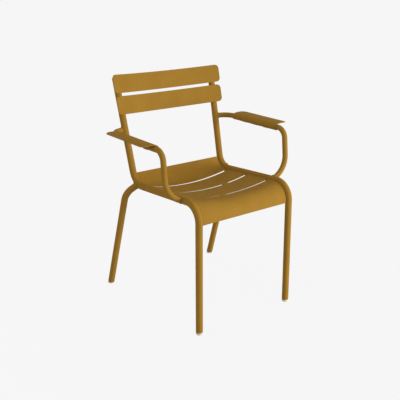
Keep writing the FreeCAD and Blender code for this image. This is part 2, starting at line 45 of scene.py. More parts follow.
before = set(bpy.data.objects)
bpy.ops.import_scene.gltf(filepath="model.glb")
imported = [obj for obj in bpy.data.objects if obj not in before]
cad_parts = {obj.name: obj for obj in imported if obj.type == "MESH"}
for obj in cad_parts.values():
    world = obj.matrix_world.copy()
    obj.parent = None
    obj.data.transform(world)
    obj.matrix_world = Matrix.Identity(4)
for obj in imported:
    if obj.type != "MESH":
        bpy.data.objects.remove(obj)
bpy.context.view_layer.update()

IMAGE_PIXELS = 400
LIGHT_AIM = Vector((0, 0, 0.45))
LIGHT_DISTANCE = 3.2
LIGHT_WIDTH = 1.4
FLOOR_REACH = 60
SIDES = (("left", -1), ("right", 1))
ACROSS = Vector((1, 0, 0))
REARWARD = Vector((0, 1, 0))
COAT_SLOT = "powder_coated_aluminium"
GLIDE_SLOT = "white_plastic"
SHARP_ANGLE = math.radians(50)
FLAT_ANGLE = math.radians(1)
EDGE_SEGMENTS = 3


def linear(hex_colour):
    """Linear colour of an sRGB hex value."""
    channels = [int(hex_colour[place:place + 2], 16) / 255 for place in (1, 3, 5)]
    return [value / 12.92 if value <= 0.04045 else ((value + 0.055) / 1.055) ** 2.4 for value in channels]


# Sizes and colours that a user would change


def length(name, millimetres, description):
    """Length property with its default in millimetres."""
    return FloatProperty(name=name, description=description, default=millimetres / 1000, precision=4,
                         unit="LENGTH")


def angle(name, degrees, description):
    """Angle property with its default in degrees."""
    return FloatProperty(name=name, description=description, default=math.radians(degrees), subtype="ANGLE")


def share(name, value, description):
    """Property for a plain number from 0 to 1."""
    return FloatProperty(name=name, description=description, default=value, min=0, max=1, subtype="FACTOR")


def power(name, watts, description):
    """Property for the power of a light."""
    return FloatProperty(name=name, description=description, default=watts, min=0, unit="POWER")


def colour(name, hex_colour, description):
    """Colour property with its default as an sRGB hex value."""
    return FloatVectorProperty(name=name, description=description, default=linear(hex_colour), size=3,
                               min=0, max=1, subtype="COLOR")


class FrameSizes(bpy.types.PropertyGroup):
    """Tubes of the chair and the places where they bend."""

    tube_diameter: length("Frame tube", 25, "Tube of the side frames and rear legs")
    arm_tube_diameter: length("Arm tube", 20, "Tube of the arms")
    rail_spacing: length("Rail spacing", 408.4, "Between the axes of the two seat rails")
    foot_spread: length("Foot spread", 538.1, "Front leg axis to rear leg axis at the floor")
    front_foot_splay: length("Front foot splay", 2, "Rail axis out to the front leg's axis at the floor")
    rear_foot_splay: length("Rear foot splay", 48.5, "Rail axis out to the rear leg's axis at the floor")
    glide_height: length("Glide height", 8, "Floor to the end of the leg tube, along the leg")
    glide_rim: length("Glide rim", 1.2, "Rounding of a glide's rims")
    knee_height: length("Knee height", 473.5, "Floor to the corner between front leg and rail")
    knee_setback: length("Knee setback", 6.5, "Front foot back to that corner")
    knee_radius: length("Knee bend", 62, "Bend between front leg and rail")
    rail_run: length("Rail run", 395.9, "Front corner to rear corner of the rail, level")
    rail_drop: length("Rail drop", 28.7, "Fall of the rail over that run")
    hip_radius: length("Hip bend", 60, "Bend between rail and back post")
    back_recline: angle("Recline", 13.96, "How far the posts lean back")
    back_splay: angle("Splay", 2.06, "How far each post leans outwards")
    back_rise: length("Back rise", 407.3, "Rear corner of the rail to the top of the back, up the post")
    post_stop: length("Post stop", 12, "Top of the back down to the end of the post")
    rear_leg_reach: length("Rear leg reach", 27.6, "Start of the hip bend to the rear leg's landing on it")
    rear_knee_inset: length("Rear knee inset", 6.9, "Rear foot inwards to the corner of the rear leg")
    rear_knee_advance: length("Rear knee advance", 131.6, "Rear foot forward to that corner")
    rear_knee_drop: length("Rear knee drop", 35.7, "Landing of the rear leg down to that corner")
    rear_knee_radius: length("Rear knee bend", 72, "Bend near the top of the rear leg")
    arm_rise: length("Arm rise", 177.8, "Arm's landing on the rail up to the level arm's axis")
    arm_overhang: length("Arm overhang", 68.4, "Rail axis out to the arm's axis")
    arm_rear_stub: length("Arm rear stub", 12.2, "Axis of the back post out to the arm's rear bend")
    arm_front_setback: length("Arm front setback", 113.3, "Front foot back to the front corner of the arm")
    arm_front_radius: length("Arm front bend", 38, "Bend at the front of the arm")
    arm_stem_advance: length("Arm stem advance", 16.2, "Front corner of the arm forward to its lower corner")
    arm_foot_rise: length("Arm foot rise", 18.4, "Arm's landing on the rail up to the arm's lower corner")
    arm_foot_stub: length("Arm foot stub", 6.2, "Axis of the rail out to the arm's lower bend")


class SheetSizes(bpy.types.PropertyGroup):
    """Slats and armrests pressed from sheet."""

    thickness: length("Thickness", 2.5, "Sheet of the slats and armrests")
    edge_rounding: length("Edge rounding", 0.9, "Rounding of the sheet's edges under the coat")
    weld_gap: length("Weld gap", 0.3, "Gap between two pieces before they are welded")
    seat_dish: length("Seat dish", 21.8, "How far the middle of the seat hangs below its sides")
    front_dish: length("Front dish", 18.3, "The same at the front gap, where the seat is shallower")
    seat_hem: length("Seat hem", 7.3, "Straight hem of the front slat below the knee bend")
    front_girth: length("Front slat", 136.7, "Front slat from its hem to the front gap, along the side frame")
    front_gap: length("Front gap", 7.5, "Gap behind the front slat")
    front_middle_width: length("Second slat", 109.5, "Slat behind that gap, along the rail")
    middle_gap: length("Middle gap", 10, "Gap between the two middle slats")
    rear_middle_width: length("Third slat", 107.5, "Next slat, along the rail")
    rear_gap: length("Rear gap", 13.5, "Gap in front of the rear slat")
    rear_stop: length("Rear stop", 7.5, "Rear slat's top edge to the end of the hip bend")
    back_height: length("Back slat height", 67.2, "Height of each back slat")
    back_gap: length("Back slat gap", 11.1, "Gap between the back slats")
    back_overhang: length("Back slat overhang", 25.2, "Axis of the back post out to the end of a back slat")
    back_radius: length("Back slat bow", 720, "Hollow side of the bowed back slats")
    back_corner: length("Back slat corner", 15, "Rounding of the back slats' corners")
    armrest_front_stop: length("Armrest front stop", 5.7, "Arm's front bend back to the armrest's front edge")
    armrest_rear_stop: length("Armrest rear stop", 0.5, "Arm's rear bend forward to the armrest's rear edge")
    armrest_reach: length("Armrest reach", 51.6, "Axis of the arm out to the free edge of the armrest")
    armrest_radius: length("Armrest arch", 178.8, "Hollow side of the armrest's arch")
    armrest_crest: angle("Armrest crest", 9.1, "Inwards from the top of the tube to where arch and curl meet")
    armrest_curl: angle("Armrest curl", 180, "Inwards from the top of the tube to where the curl ends")
    armrest_corner: length("Armrest corner", 18, "Rounding of the armrest's outer corners")


class WeldSizes(bpy.types.PropertyGroup):
    """Weld beads between the pieces."""

    collar_radius: length("Collar bead", 1.9, "Radius of the bead around a tube joint")
    stitch_radius: length("Stitch bead", 2.3, "Radius of a short bead beside a sheet")
    ripple_pitch: length("Ripple pitch", 1.6, "Distance between two ripples of a bead")
    ripple_depth: share("Ripple depth", 0.14, "Depth of the valley between ripples, as a share of the radius")


class FinishColours(bpy.types.PropertyGroup):
    """Colours of the coat, the plastic and the studio."""

    coat: colour("Coat", "#A37B31", "Mustard-gold powder coat")
    coat_shade: colour("Coat, deep", "#9B732B", "Slightly deeper cloud in the powder coat")
    glide: colour("Glide", "#E9E4DA", "White plastic of the floor glides")
    glide_dust: colour("Glide, dusty", "#D8CFBF", "Dust held in the plastic's grain")
    studio: colour("Studio", "#F6F6F6", "Floor and backdrop")


class StageSettings(bpy.types.PropertyGroup):
    """Camera and lights."""

    camera_position: FloatVectorProperty(name="Camera position", description="Place of the lens", size=3,
                                         default=(-1.4109, -1.87205, 1.1974), subtype="TRANSLATION")
    heading: angle("Heading", -36.9527, "Turn of the view about the vertical, from looking along +Y")
    tilt: angle("Tilt", 19.2738, "How far the view looks down")
    roll: angle("Roll", 0.1436, "Turn of the view about its own axis")
    focal_pixels: FloatProperty(name="Focal length", description="Focal length in pixels of the square image",
                                default=653.75, min=1)
    key_power: power("Key light", 88, "Soft box in front of the chair, low and to its left hand")
    key_turn: angle("Key light turn", 34, "From the chair's front towards its left hand")
    key_rise: angle("Key light rise", 5, "Up from the level of the seat")
    fill_power: power("Fill light", 12, "Soft box above the chair's right hand")
    fill_turn: angle("Fill light turn", -90, "From the chair's front towards its left hand")
    fill_rise: angle("Fill light rise", 40, "Up from the level of the seat")
    rear_power: power("Rear light", 4, "Soft box above and behind the chair")
    rear_turn: angle("Rear light turn", 150, "From the chair's front towards its left hand")
    rear_rise: angle("Rear light rise", 40, "Up from the level of the seat")
    ambient: share("Ambient", 0.50, "Strength of the light from all round")
    floor_glow: FloatProperty(name="Floor glow", description="Brightness of the floor's own light",
                              default=1.03, min=0)
    floor_glow_share: share("Floor glow share", 0.94, "How much of the floor's look is its own light")


GROUPS = {
    "armchair_frame": FrameSizes,
    "armchair_sheets": SheetSizes,
    "armchair_welds": WeldSizes,
    "armchair_colours": FinishColours,
    "armchair_stage": StageSettings,
}


# Trees of nodes


def add_node(tree, kind, links=None, **settings):
    """New node in a tree.

    Settings are the node's own properties. Links go from a socket's name or number to a value, or to the
    output socket that feeds it.
    """
    node = tree.nodes.new(kind)
    for name, value in settings.items():
        setattr(node, name, value)
    for place, source in (links or {}).items():
        socket = node.inputs[place]
        if isinstance(source, bpy.types.NodeSocket):
            tree.links.new(source, socket)
        else:
            socket.default_value = source
    return node


def geometry_tree(name, inputs):
    """Empty geometry tree with a geometry input, the named inputs and a geometry output.

    Gives the tree and its input node.
    """
    tree = bpy.data.node_groups.new(name, "GeometryNodeTree")
    tree.interface.new_socket("Geometry", in_out="INPUT", socket_type="NodeSocketGeometry")
    tree.interface.new_socket("Geometry", in_out="OUTPUT", socket_type="NodeSocketGeometry")
    for label, kind in inputs.items():
        tree.interface.new_socket(label, in_out="INPUT", socket_type=f"NodeSocket{kind}")
    tree.interface.new_socket("Material", in_out="INPUT", socket_type="NodeSocketMaterial")
    return tree, tree.nodes.new("NodeGroupInput")


def finish_tree(tree, source, geometry):
    """Last nodes of a geometry tree: real geometry, smooth, with the material on it."""
    real = add_node(tree, "GeometryNodeRealizeInstances", {"Geometry": geometry})
    smooth = add_node(tree, "GeometryNodeSetShadeSmooth", {"Geometry": real.outputs[0]})
    painted = add_node(tree, "GeometryNodeSetMaterial",
                       {"Geometry": smooth.outputs[0], "Material": source.outputs["Material"]})
    add_node(tree, "NodeGroupOutput", {"Geometry": painted.outputs[0]})
    return tree


def grown_mesh(name, start, tree, values):
    """Mesh that a geometry tree makes from a curve or mesh, with its inputs set by name."""
    seed = bpy.data.objects.new(name, start)
    bpy.context.scene.collection.objects.link(seed)
    modifier = seed.modifiers.new("Rule", "NODES")
    modifier.node_group = tree
    for item in tree.interface.items_tree:
        if item.in_out == "INPUT" and item.name in values:
            modifier[item.identifier] = values[item.name]
    evaluated = seed.evaluated_get(bpy.context.evaluated_depsgraph_get())
    mesh = bpy.data.meshes.new_from_object(evaluated)
    bpy.data.objects.remove(seed)
    return mesh


# Paths of the tubes


def path_curve(name, corners, radii=None, closed=False):
    """Curve of straight runs; the radius of each point is the bend that it is to get."""
    curve = bpy.data.curves.new(name, "CURVE")
    curve.dimensions = "3D"
    add_run(curve, corners, radii, closed)
    return curve


def add_run(curve, corners, radii=None, closed=False):
    """One more line of straight runs in a curve."""
    run = curve.splines.new("POLY")
    run.points.add(len(corners) - 1)
    run.use_cyclic_u = closed
    for point, corner, radius in zip(run.points, corners, radii or [1] * len(corners)):
        point.co = (*corner, 1)
        point.radius = radius


def bend_radius(corner, before, end, stub):
    """Radius of the bend at a corner that leaves a straight stub at the path's end."""
    half_turn = (math.pi - (before - corner).angle(end - corner)) / 2
    return ((end - corner).length - stub) / math.tan(half_turn)


def bend_reach(before, corner, after, radius):
    """Length that a bend takes from each straight run beside its corner."""
    return radius * math.tan((math.pi - (before - corner).angle(after - corner)) / 2)


class Skeleton:
    """Corners of the tubes on one side, worked out from the frame's sizes."""

    def __init__(self, sizes, side):
        self.sizes = sizes
        self.side = side
        self.rail_x = sizes.rail_spacing / 2
        self.front_y = -sizes.foot_spread / 2
        self.back_up = Vector((0, math.sin(sizes.back_recline), math.cos(sizes.back_recline)))
        self.back_front = Vector((0, -math.cos(sizes.back_recline), math.sin(sizes.back_recline)))
        self.knee = Vector((side * self.rail_x, self.front_y + sizes.knee_setback, sizes.knee_height))
        self.hip = self.knee + Vector((0, sizes.rail_run, -sizes.rail_drop))
        self.arm_x = self.rail_x + sizes.arm_overhang
        foot_y = self.front_y + sizes.arm_front_setback - sizes.arm_stem_advance
        foot_share = (foot_y - self.knee.y) / sizes.rail_run
        self.arm_foot = self.knee.lerp(self.hip, foot_share)
        self.arm_z = self.arm_foot.z + sizes.arm_rise

    def post(self, rise):
        """Point on the axis of the back post, at a rise up the back from the hip corner."""
        outwards = rise * math.cos(self.sizes.back_recline) * math.tan(self.sizes.back_splay)
        return self.hip + ACROSS * (self.side * outwards) + self.back_up * rise

    def leg_end(self, foot, knee):
        """Lower end of a leg tube, where its glide begins."""
        return foot + (knee - foot).normalized() * self.sizes.glide_height

    def side_frame(self):
        """Corners and bends of front leg, rail and back post."""
        sizes = self.sizes
        foot = Vector((self.side * (self.rail_x + sizes.front_foot_splay), self.front_y, 0))
        top = self.post(sizes.back_rise - sizes.post_stop)
        corners = [self.leg_end(foot, self.knee), self.knee, self.hip, top]
        return corners, [0, sizes.knee_radius, sizes.hip_radius, 0]

    def runs(self):
        """Lengths of leg, knee bend, rail and hip bend along the side frame."""
        (foot, knee, hip, top), (_, knee_radius, hip_radius, _) = self.side_frame()
        knee_reach = bend_reach(foot, knee, hip, knee_radius)
        hip_reach = bend_reach(knee, hip, top, hip_radius)
        knee_turn = (knee - foot).angle(hip - knee)
        hip_turn = (hip - knee).angle(top - hip)
        rail = (hip - knee).length - knee_reach - hip_reach
        return (knee - foot).length - knee_reach, knee_turn * knee_radius, rail, hip_turn * hip_radius

    def rear_leg(self):
        """Corners and bends of the rear leg, up to its landing on the hip bend."""
        sizes = self.sizes
        foot_x = self.rail_x + sizes.rear_foot_splay
        foot = Vector((self.side * foot_x, -self.front_y, 0))
        _, knee, hip, top = self.side_frame()[0]
        before = (knee - hip).normalized()
        after = (top - hip).normalized()
        reach = bend_reach(knee, hip, top, sizes.hip_radius)
        turned = sizes.rear_leg_reach / sizes.hip_radius
        centre = hip + (before + after).normalized() * math.hypot(reach, sizes.hip_radius)
        start = hip + before * reach - centre
        landing = centre + start * math.cos(turned) - before * (sizes.hip_radius * math.sin(turned))
        bend = Vector((self.side * (foot_x - sizes.rear_knee_inset), foot.y - sizes.rear_knee_advance,
                       landing.z - sizes.rear_knee_drop))
        return [self.leg_end(foot, bend), bend, landing], [0, sizes.rear_knee_radius, 0]

    def arm(self):
        """Corners and bends of the arm, from the back post round to the seat rail."""
        sizes = self.sizes
        start = self.post((self.arm_z - self.hip.z) / math.cos(sizes.back_recline))
        rear = Vector((self.side * self.arm_x, start.y, self.arm_z))
        front = Vector((rear.x, self.front_y + sizes.arm_front_setback, self.arm_z))
        low = Vector((rear.x, self.arm_foot.y, self.arm_foot.z + sizes.arm_foot_rise))
        rear_bend = bend_radius(rear, front, start, sizes.arm_rear_stub)
        low_bend = bend_radius(low, front, self.arm_foot, sizes.arm_foot_stub)
        return [start, rear, front, low, self.arm_foot], [0, rear_bend, sizes.arm_front_radius, low_bend, 0]

    def armrest_span(self, sheets):
        """Front and rear ends of the armrest along the arm."""
        (start, rear, front, low, _), (_, rear_bend, front_bend, _, _) = self.arm()
        front_end = front.y + bend_reach(rear, front, low, front_bend) + sheets.armrest_front_stop
        rear_end = rear.y - bend_reach(start, rear, front, rear_bend) - sheets.armrest_rear_stop
        return front_end, rear_end

    def around_arm(self, turn):
        """Direction from the arm's axis, at an angle inwards from the top of its tube."""
        return Vector((-self.side * math.sin(turn), 0, math.cos(turn)))

    def armrest_section(self, sheets):
        """Middle of the armrest's sheet across the arm, from the end of the curl to the free edge."""
        snug = self.sizes.arm_tube_diameter / 2 + sheets.weld_gap
        inset = sheets.armrest_radius - snug
        axis = Vector((self.side * self.arm_x, sum(self.armrest_span(sheets)) / 2, self.arm_z))
        arch_axis = axis - self.around_arm(sheets.armrest_crest) * inset
        arch_radius = sheets.armrest_radius + sheets.thickness / 2
        edge = -math.asin((sheets.armrest_reach - inset * math.sin(sheets.armrest_crest)) / arch_radius)
        arcs = ((axis, snug + sheets.thickness / 2, sheets.armrest_curl, sheets.armrest_crest),
                (arch_axis, arch_radius, sheets.armrest_crest, edge))
        points = []
        for centre, radius, begin, end in arcs:
            points += [centre + self.around_arm(turn) * radius for turn in np.linspace(begin, end, ARC_STEPS)]
        return points


# Rules of the pieces

TUBE_SIDES = 48
BEND_STEPS = 28
ARC_STEPS = 48
BEAD_SIDES = 12
RIPPLE_STEPS = 6
STITCH_SLICES = 3
COLLAR_SLICES = 40
MERGE_DISTANCE = 1e-6
SEAT_GRID = {"Columns": 65, "Rows": 33}
BACK_GRID = {"Columns": 161, "Rows": 25}
ARMREST_GRID = {"Columns": 97, "Rows": 121}


def bent_line(tree, source):
    """Path of a group input with its corners bent to the radius of each point."""
    bend = add_node(tree, "GeometryNodeInputRadius")
    bent = add_node(tree, "GeometryNodeFilletCurve",
                    {"Curve": source.outputs["Geometry"], "Count": BEND_STEPS, "Radius": bend.outputs[0]},
                    mode="POLY")
    even = add_node(tree, "GeometryNodeSetCurveRadius", {"Curve": bent.outputs[0], "Radius": 1.0})
    return even.outputs[0]


def tube_tree():
    """Tree for a tube bent along a path."""
    tree, source = geometry_tree("bent tube", {"Tube Radius": "Float"})
    section = add_node(tree, "GeometryNodeCurvePrimitiveCircle",
                       {"Resolution": TUBE_SIDES, "Radius": source.outputs["Tube Radius"]})
    tube = add_node(tree, "GeometryNodeCurveToMesh",
                    {"Curve": bent_line(tree, source), "Profile Curve": section.outputs[0],
                     "Fill Caps": True})
    return finish_tree(tree, source, tube.outputs[0])


def seat_slat_tree():
    """Tree for a slat that follows the side frames from a start to an end and hangs between them.

    Its dish goes smoothly from the one at its start to the one at its end.
    """
    tree, source = geometry_tree("seat slat", {
        "Start": "Float", "End": "Float", "Inset": "Float", "Start Dish": "Float", "End Dish": "Float",
        "Columns": "Int", "Rows": "Int"})
    value = source.outputs
    blank = add_node(tree, "GeometryNodeMeshGrid", {
        "Size X": 2.0, "Size Y": 1.0, "Vertices X": value["Columns"], "Vertices Y": value["Rows"]})
    place = add_node(tree, "GeometryNodeInputPosition")
    across = add_node(tree, "ShaderNodeSeparateXYZ", {0: place.outputs[0]})
    along = add_node(tree, "ShaderNodeMath", {0: across.outputs["Y"], 1: 0.5}, operation="ADD")
    distance = add_node(tree, "ShaderNodeMapRange", {"Value": along.outputs[0], "To Min": value["Start"],
                                                     "To Max": value["End"]})
    station = add_node(tree, "GeometryNodeSampleCurve",
                       {"Curves": bent_line(tree, source), "Length": distance.outputs[0]}, mode="LENGTH")
    axis = add_node(tree, "ShaderNodeSeparateXYZ", {0: station.outputs["Position"]})
    half = add_node(tree, "ShaderNodeMath", {0: axis.outputs["X"], 1: value["Inset"]}, operation="SUBTRACT")
    side = add_node(tree, "ShaderNodeMath", {0: across.outputs["X"], 1: half.outputs[0]},
                    operation="MULTIPLY")
    level = add_node(tree, "ShaderNodeCombineXYZ", {"X": side.outputs[0], "Y": axis.outputs["Y"],
                                                    "Z": axis.outputs["Z"]})
    crossed = add_node(tree, "ShaderNodeVectorMath", {0: ACROSS, 1: station.outputs["Tangent"]},
                       operation="CROSS_PRODUCT")
    normal = add_node(tree, "ShaderNodeVectorMath", {0: crossed.outputs[0]}, operation="NORMALIZE")
    squared = add_node(tree, "ShaderNodeMath", {0: across.outputs["X"], 1: 2.0}, operation="POWER")
    hang = add_node(tree, "ShaderNodeMath", {0: 1.0, 1: squared.outputs[0]}, operation="SUBTRACT")
    half_turn = add_node(tree, "ShaderNodeMath", {0: along.outputs[0], 1: math.pi}, operation="MULTIPLY")
    wave = add_node(tree, "ShaderNodeMath", {0: half_turn.outputs[0]}, operation="COSINE")
    dish = add_node(tree, "ShaderNodeMapRange", {"Value": wave.outputs[0], "From Min": -1.0, "From Max": 1.0,
                                                 "To Min": value["End Dish"], "To Max": value["Start Dish"]})
    depth = add_node(tree, "ShaderNodeMath", {0: hang.outputs[0], 1: dish.outputs[0]}, operation="MULTIPLY")
    drop = add_node(tree, "ShaderNodeVectorMath", {0: normal.outputs[0], "Scale": depth.outputs[0]},
                    operation="SCALE")
    final = add_node(tree, "ShaderNodeVectorMath", {0: level.outputs[0], 1: drop.outputs[0]},
                     operation="SUBTRACT")
    pressed = add_node(tree, "GeometryNodeSetPosition",
                       {"Geometry": blank.outputs[0], "Position": final.outputs[0]})
    return finish_tree(tree, source, pressed.outputs[0])


def with_round_corners(tree, place, half, corner_radius):
    """Places on a flat blank with the square of the grid in each corner drawn in to a quarter of a disc."""
    corner = add_node(tree, "ShaderNodeCombineXYZ", {"X": corner_radius, "Y": corner_radius})
    inner = add_node(tree, "ShaderNodeVectorMath", {0: half, 1: corner.outputs[0]}, operation="SUBTRACT")
    from_middle = add_node(tree, "ShaderNodeVectorMath", {0: place}, operation="ABSOLUTE")
    past = add_node(tree, "ShaderNodeVectorMath", {0: from_middle.outputs[0], 1: inner.outputs[0]},
                    operation="SUBTRACT")
    into = add_node(tree, "ShaderNodeVectorMath", {0: past.outputs[0], 1: (0, 0, 0)}, operation="MAXIMUM")
    kept = add_node(tree, "ShaderNodeVectorMath", {0: from_middle.outputs[0], 1: inner.outputs[0]},
                    operation="MINIMUM")
    ratio = add_node(tree, "ShaderNodeVectorMath", {0: into.outputs[0], 1: corner.outputs[0]},
                     operation="DIVIDE")
    ratios = add_node(tree, "ShaderNodeSeparateXYZ", {0: ratio.outputs[0]})
    drawn_in = {}
    for axis, other in (("X", "Y"), ("Y", "X")):
        square = add_node(tree, "ShaderNodeMath", {0: ratios.outputs[other], 1: 2.0}, operation="POWER")
        less = add_node(tree, "ShaderNodeMath", {0: square.outputs[0], 1: -0.5, 2: 1.0},
                        operation="MULTIPLY_ADD")
        root = add_node(tree, "ShaderNodeMath", {0: less.outputs[0]}, operation="SQRT")
        drawn_in[axis] = root.outputs[0]
    draw = add_node(tree, "ShaderNodeCombineXYZ", drawn_in)
    arc = add_node(tree, "ShaderNodeVectorMath", {0: into.outputs[0], 1: draw.outputs[0], 2: kept.outputs[0]},
                   operation="MULTIPLY_ADD")
    signs = add_node(tree, "ShaderNodeVectorMath", {0: place}, operation="SIGN")
    flat = add_node(tree, "ShaderNodeVectorMath", {0: arc.outputs[0], 1: signs.outputs[0]},
                    operation="MULTIPLY")
    return add_node(tree, "ShaderNodeSeparateXYZ", {0: flat.outputs[0]})


def flat_blank(tree, value):
    """Grid of a tree's width and length around the origin, with the places of its points."""
    blank = add_node(tree, "GeometryNodeMeshGrid", {
        "Size X": value["Width"], "Size Y": value["Length"],
        "Vertices X": value["Columns"], "Vertices Y": value["Rows"]})
    return blank.outputs[0], add_node(tree, "GeometryNodeInputPosition").outputs[0]


def rolled_sheet_tree():
    """Tree for a blank with rounded corners, rolled about its own Y axis and lying on the +Z side of it."""
    tree, source = geometry_tree("rolled sheet", {
        "Width": "Float", "Length": "Float", "Corner": "Float", "Radius": "Float",
        "Columns": "Int", "Rows": "Int"})
    value = source.outputs
    blank, place = flat_blank(tree, value)
    size = add_node(tree, "ShaderNodeCombineXYZ", {"X": value["Width"], "Y": value["Length"]})
    half = add_node(tree, "ShaderNodeVectorMath", {0: size.outputs[0], "Scale": 0.5}, operation="SCALE")
    flat = with_round_corners(tree, place, half.outputs[0], value["Corner"])
    x_squared = add_node(tree, "ShaderNodeMath", {0: flat.outputs["X"], 1: 2.0}, operation="POWER")
    r_squared = add_node(tree, "ShaderNodeMath", {0: value["Radius"], 1: 2.0}, operation="POWER")
    rest = add_node(tree, "ShaderNodeMath", {0: r_squared.outputs[0], 1: x_squared.outputs[0]},
                    operation="SUBTRACT")
    height = add_node(tree, "ShaderNodeMath", {0: rest.outputs[0]}, operation="SQRT")
    rolled = add_node(tree, "ShaderNodeCombineXYZ", {"X": flat.outputs["X"], "Y": flat.outputs["Y"],
                                                     "Z": height.outputs[0]})
    pressed = add_node(tree, "GeometryNodeSetPosition", {"Geometry": blank, "Position": rolled.outputs[0]})
    return finish_tree(tree, source, pressed.outputs[0])


def curled_sheet_tree():
    """Tree for a blank bent along a section, square at the section's start and round-cornered at its end."""
    tree, source = geometry_tree("curled sheet", {
        "Width": "Float", "Length": "Float", "Corner": "Float", "Columns": "Int", "Rows": "Int"})
    value = source.outputs
    blank, place = flat_blank(tree, value)
    half_width = add_node(tree, "ShaderNodeMath", {0: value["Width"], 1: 0.5}, operation="MULTIPLY")
    half_length = add_node(tree, "ShaderNodeMath", {0: value["Length"], 1: 0.5}, operation="MULTIPLY")
    shift = add_node(tree, "ShaderNodeCombineXYZ", {"X": half_width.outputs[0]})
    from_start = add_node(tree, "ShaderNodeVectorMath", {0: place, 1: shift.outputs[0]}, operation="ADD")
    # The start of the section is the middle of a blank twice as wide, so only the end's corners are round.
    half = add_node(tree, "ShaderNodeCombineXYZ", {"X": value["Width"], "Y": half_length.outputs[0]})
    flat = with_round_corners(tree, from_start.outputs[0], half.outputs[0], value["Corner"])
    section = add_node(tree, "GeometryNodeSampleCurve",
                       {"Curves": value["Geometry"], "Length": flat.outputs["X"]}, mode="LENGTH")
    along = add_node(tree, "ShaderNodeCombineXYZ", {"Y": flat.outputs["Y"]})
    bent = add_node(tree, "ShaderNodeVectorMath", {0: section.outputs["Position"], 1: along.outputs[0]},
                    operation="ADD")
    pressed = add_node(tree, "GeometryNodeSetPosition", {"Geometry": blank, "Position": bent.outputs[0]})
    return finish_tree(tree, source, pressed.outputs[0])


def weld_tree():
    """Tree for a weld bead with a ripple at each pitch, rounded off at the ends of an open seam."""
    tree, source = geometry_tree("weld bead", {"Bead Radius": "Float", "Pitch": "Float", "Depth": "Float"})
    value = source.outputs
    spacing = add_node(tree, "ShaderNodeMath", {0: value["Pitch"], 1: RIPPLE_STEPS}, operation="DIVIDE")
    seam = add_node(tree, "GeometryNodeResampleCurve",
                    {"Curve": value["Geometry"], "Length": spacing.outputs[0]}, mode="LENGTH")
    along = add_node(tree, "GeometryNodeSplineParameter")
    reach = add_node(tree, "GeometryNodeSplineLength")
    # Each ripple is an arch over one pitch.
    turns = add_node(tree, "ShaderNodeMath", {0: along.outputs["Length"], 1: value["Pitch"]},
                     operation="DIVIDE")
    phase = add_node(tree, "ShaderNodeMath", {0: turns.outputs[0], 1: math.pi}, operation="MULTIPLY")
    swing = add_node(tree, "ShaderNodeMath", {0: phase.outputs[0]}, operation="SINE")
    arch = add_node(tree, "ShaderNodeMath", {0: swing.outputs[0]}, operation="ABSOLUTE")
    valley = add_node(tree, "ShaderNodeMath", {0: 1.0, 1: value["Depth"]}, operation="SUBTRACT")
    ripple = add_node(tree, "ShaderNodeMapRange", {"Value": arch.outputs[0], "To Min": valley.outputs[0],
                                                   "To Max": 1.0})
    # Within a bead's radius of an open end the bead follows a quarter circle.
    left = add_node(tree, "ShaderNodeMath", {0: reach.outputs["Length"], 1: along.outputs["Length"]},
                    operation="SUBTRACT")
    nearest = add_node(tree, "ShaderNodeMath", {0: left.outputs[0], 1: along.outputs["Length"]},
                       operation="MINIMUM")
    inwards = add_node(tree, "ShaderNodeMapRange",
                       {"Value": nearest.outputs[0], "From Max": value["Bead Radius"],
                        "To Min": 1.0, "To Max": 0.0})
    outwards = add_node(tree, "ShaderNodeMath", {0: inwards.outputs[0], 1: 2.0}, operation="POWER")
    remaining = add_node(tree, "ShaderNodeMath", {0: 1.0, 1: outwards.outputs[0]}, operation="SUBTRACT")
    nose = add_node(tree, "ShaderNodeMath", {0: remaining.outputs[0]}, operation="SQRT")
    closed = add_node(tree, "GeometryNodeInputSplineCyclic")
    end = add_node(tree, "GeometryNodeSwitch",
                   {"Switch": closed.outputs[0], "False": nose.outputs[0], "True": 1.0}, input_type="FLOAT")
    swell = add_node(tree, "ShaderNodeMath", {0: ripple.outputs[0], 1: end.outputs[0]}, operation="MULTIPLY")
    shaped = add_node(tree, "GeometryNodeSetCurveRadius",
                      {"Curve": seam.outputs[0], "Radius": swell.outputs[0]})
    section = add_node(tree, "GeometryNodeCurvePrimitiveCircle",
                       {"Resolution": BEAD_SIDES, "Radius": value["Bead Radius"]})
    bead = add_node(tree, "GeometryNodeCurveToMesh",
                    {"Curve": shaped.outputs[0], "Profile Curve": section.outputs[0], "Fill Caps": True})
    return finish_tree(tree, source, bead.outputs[0])


# Finishes


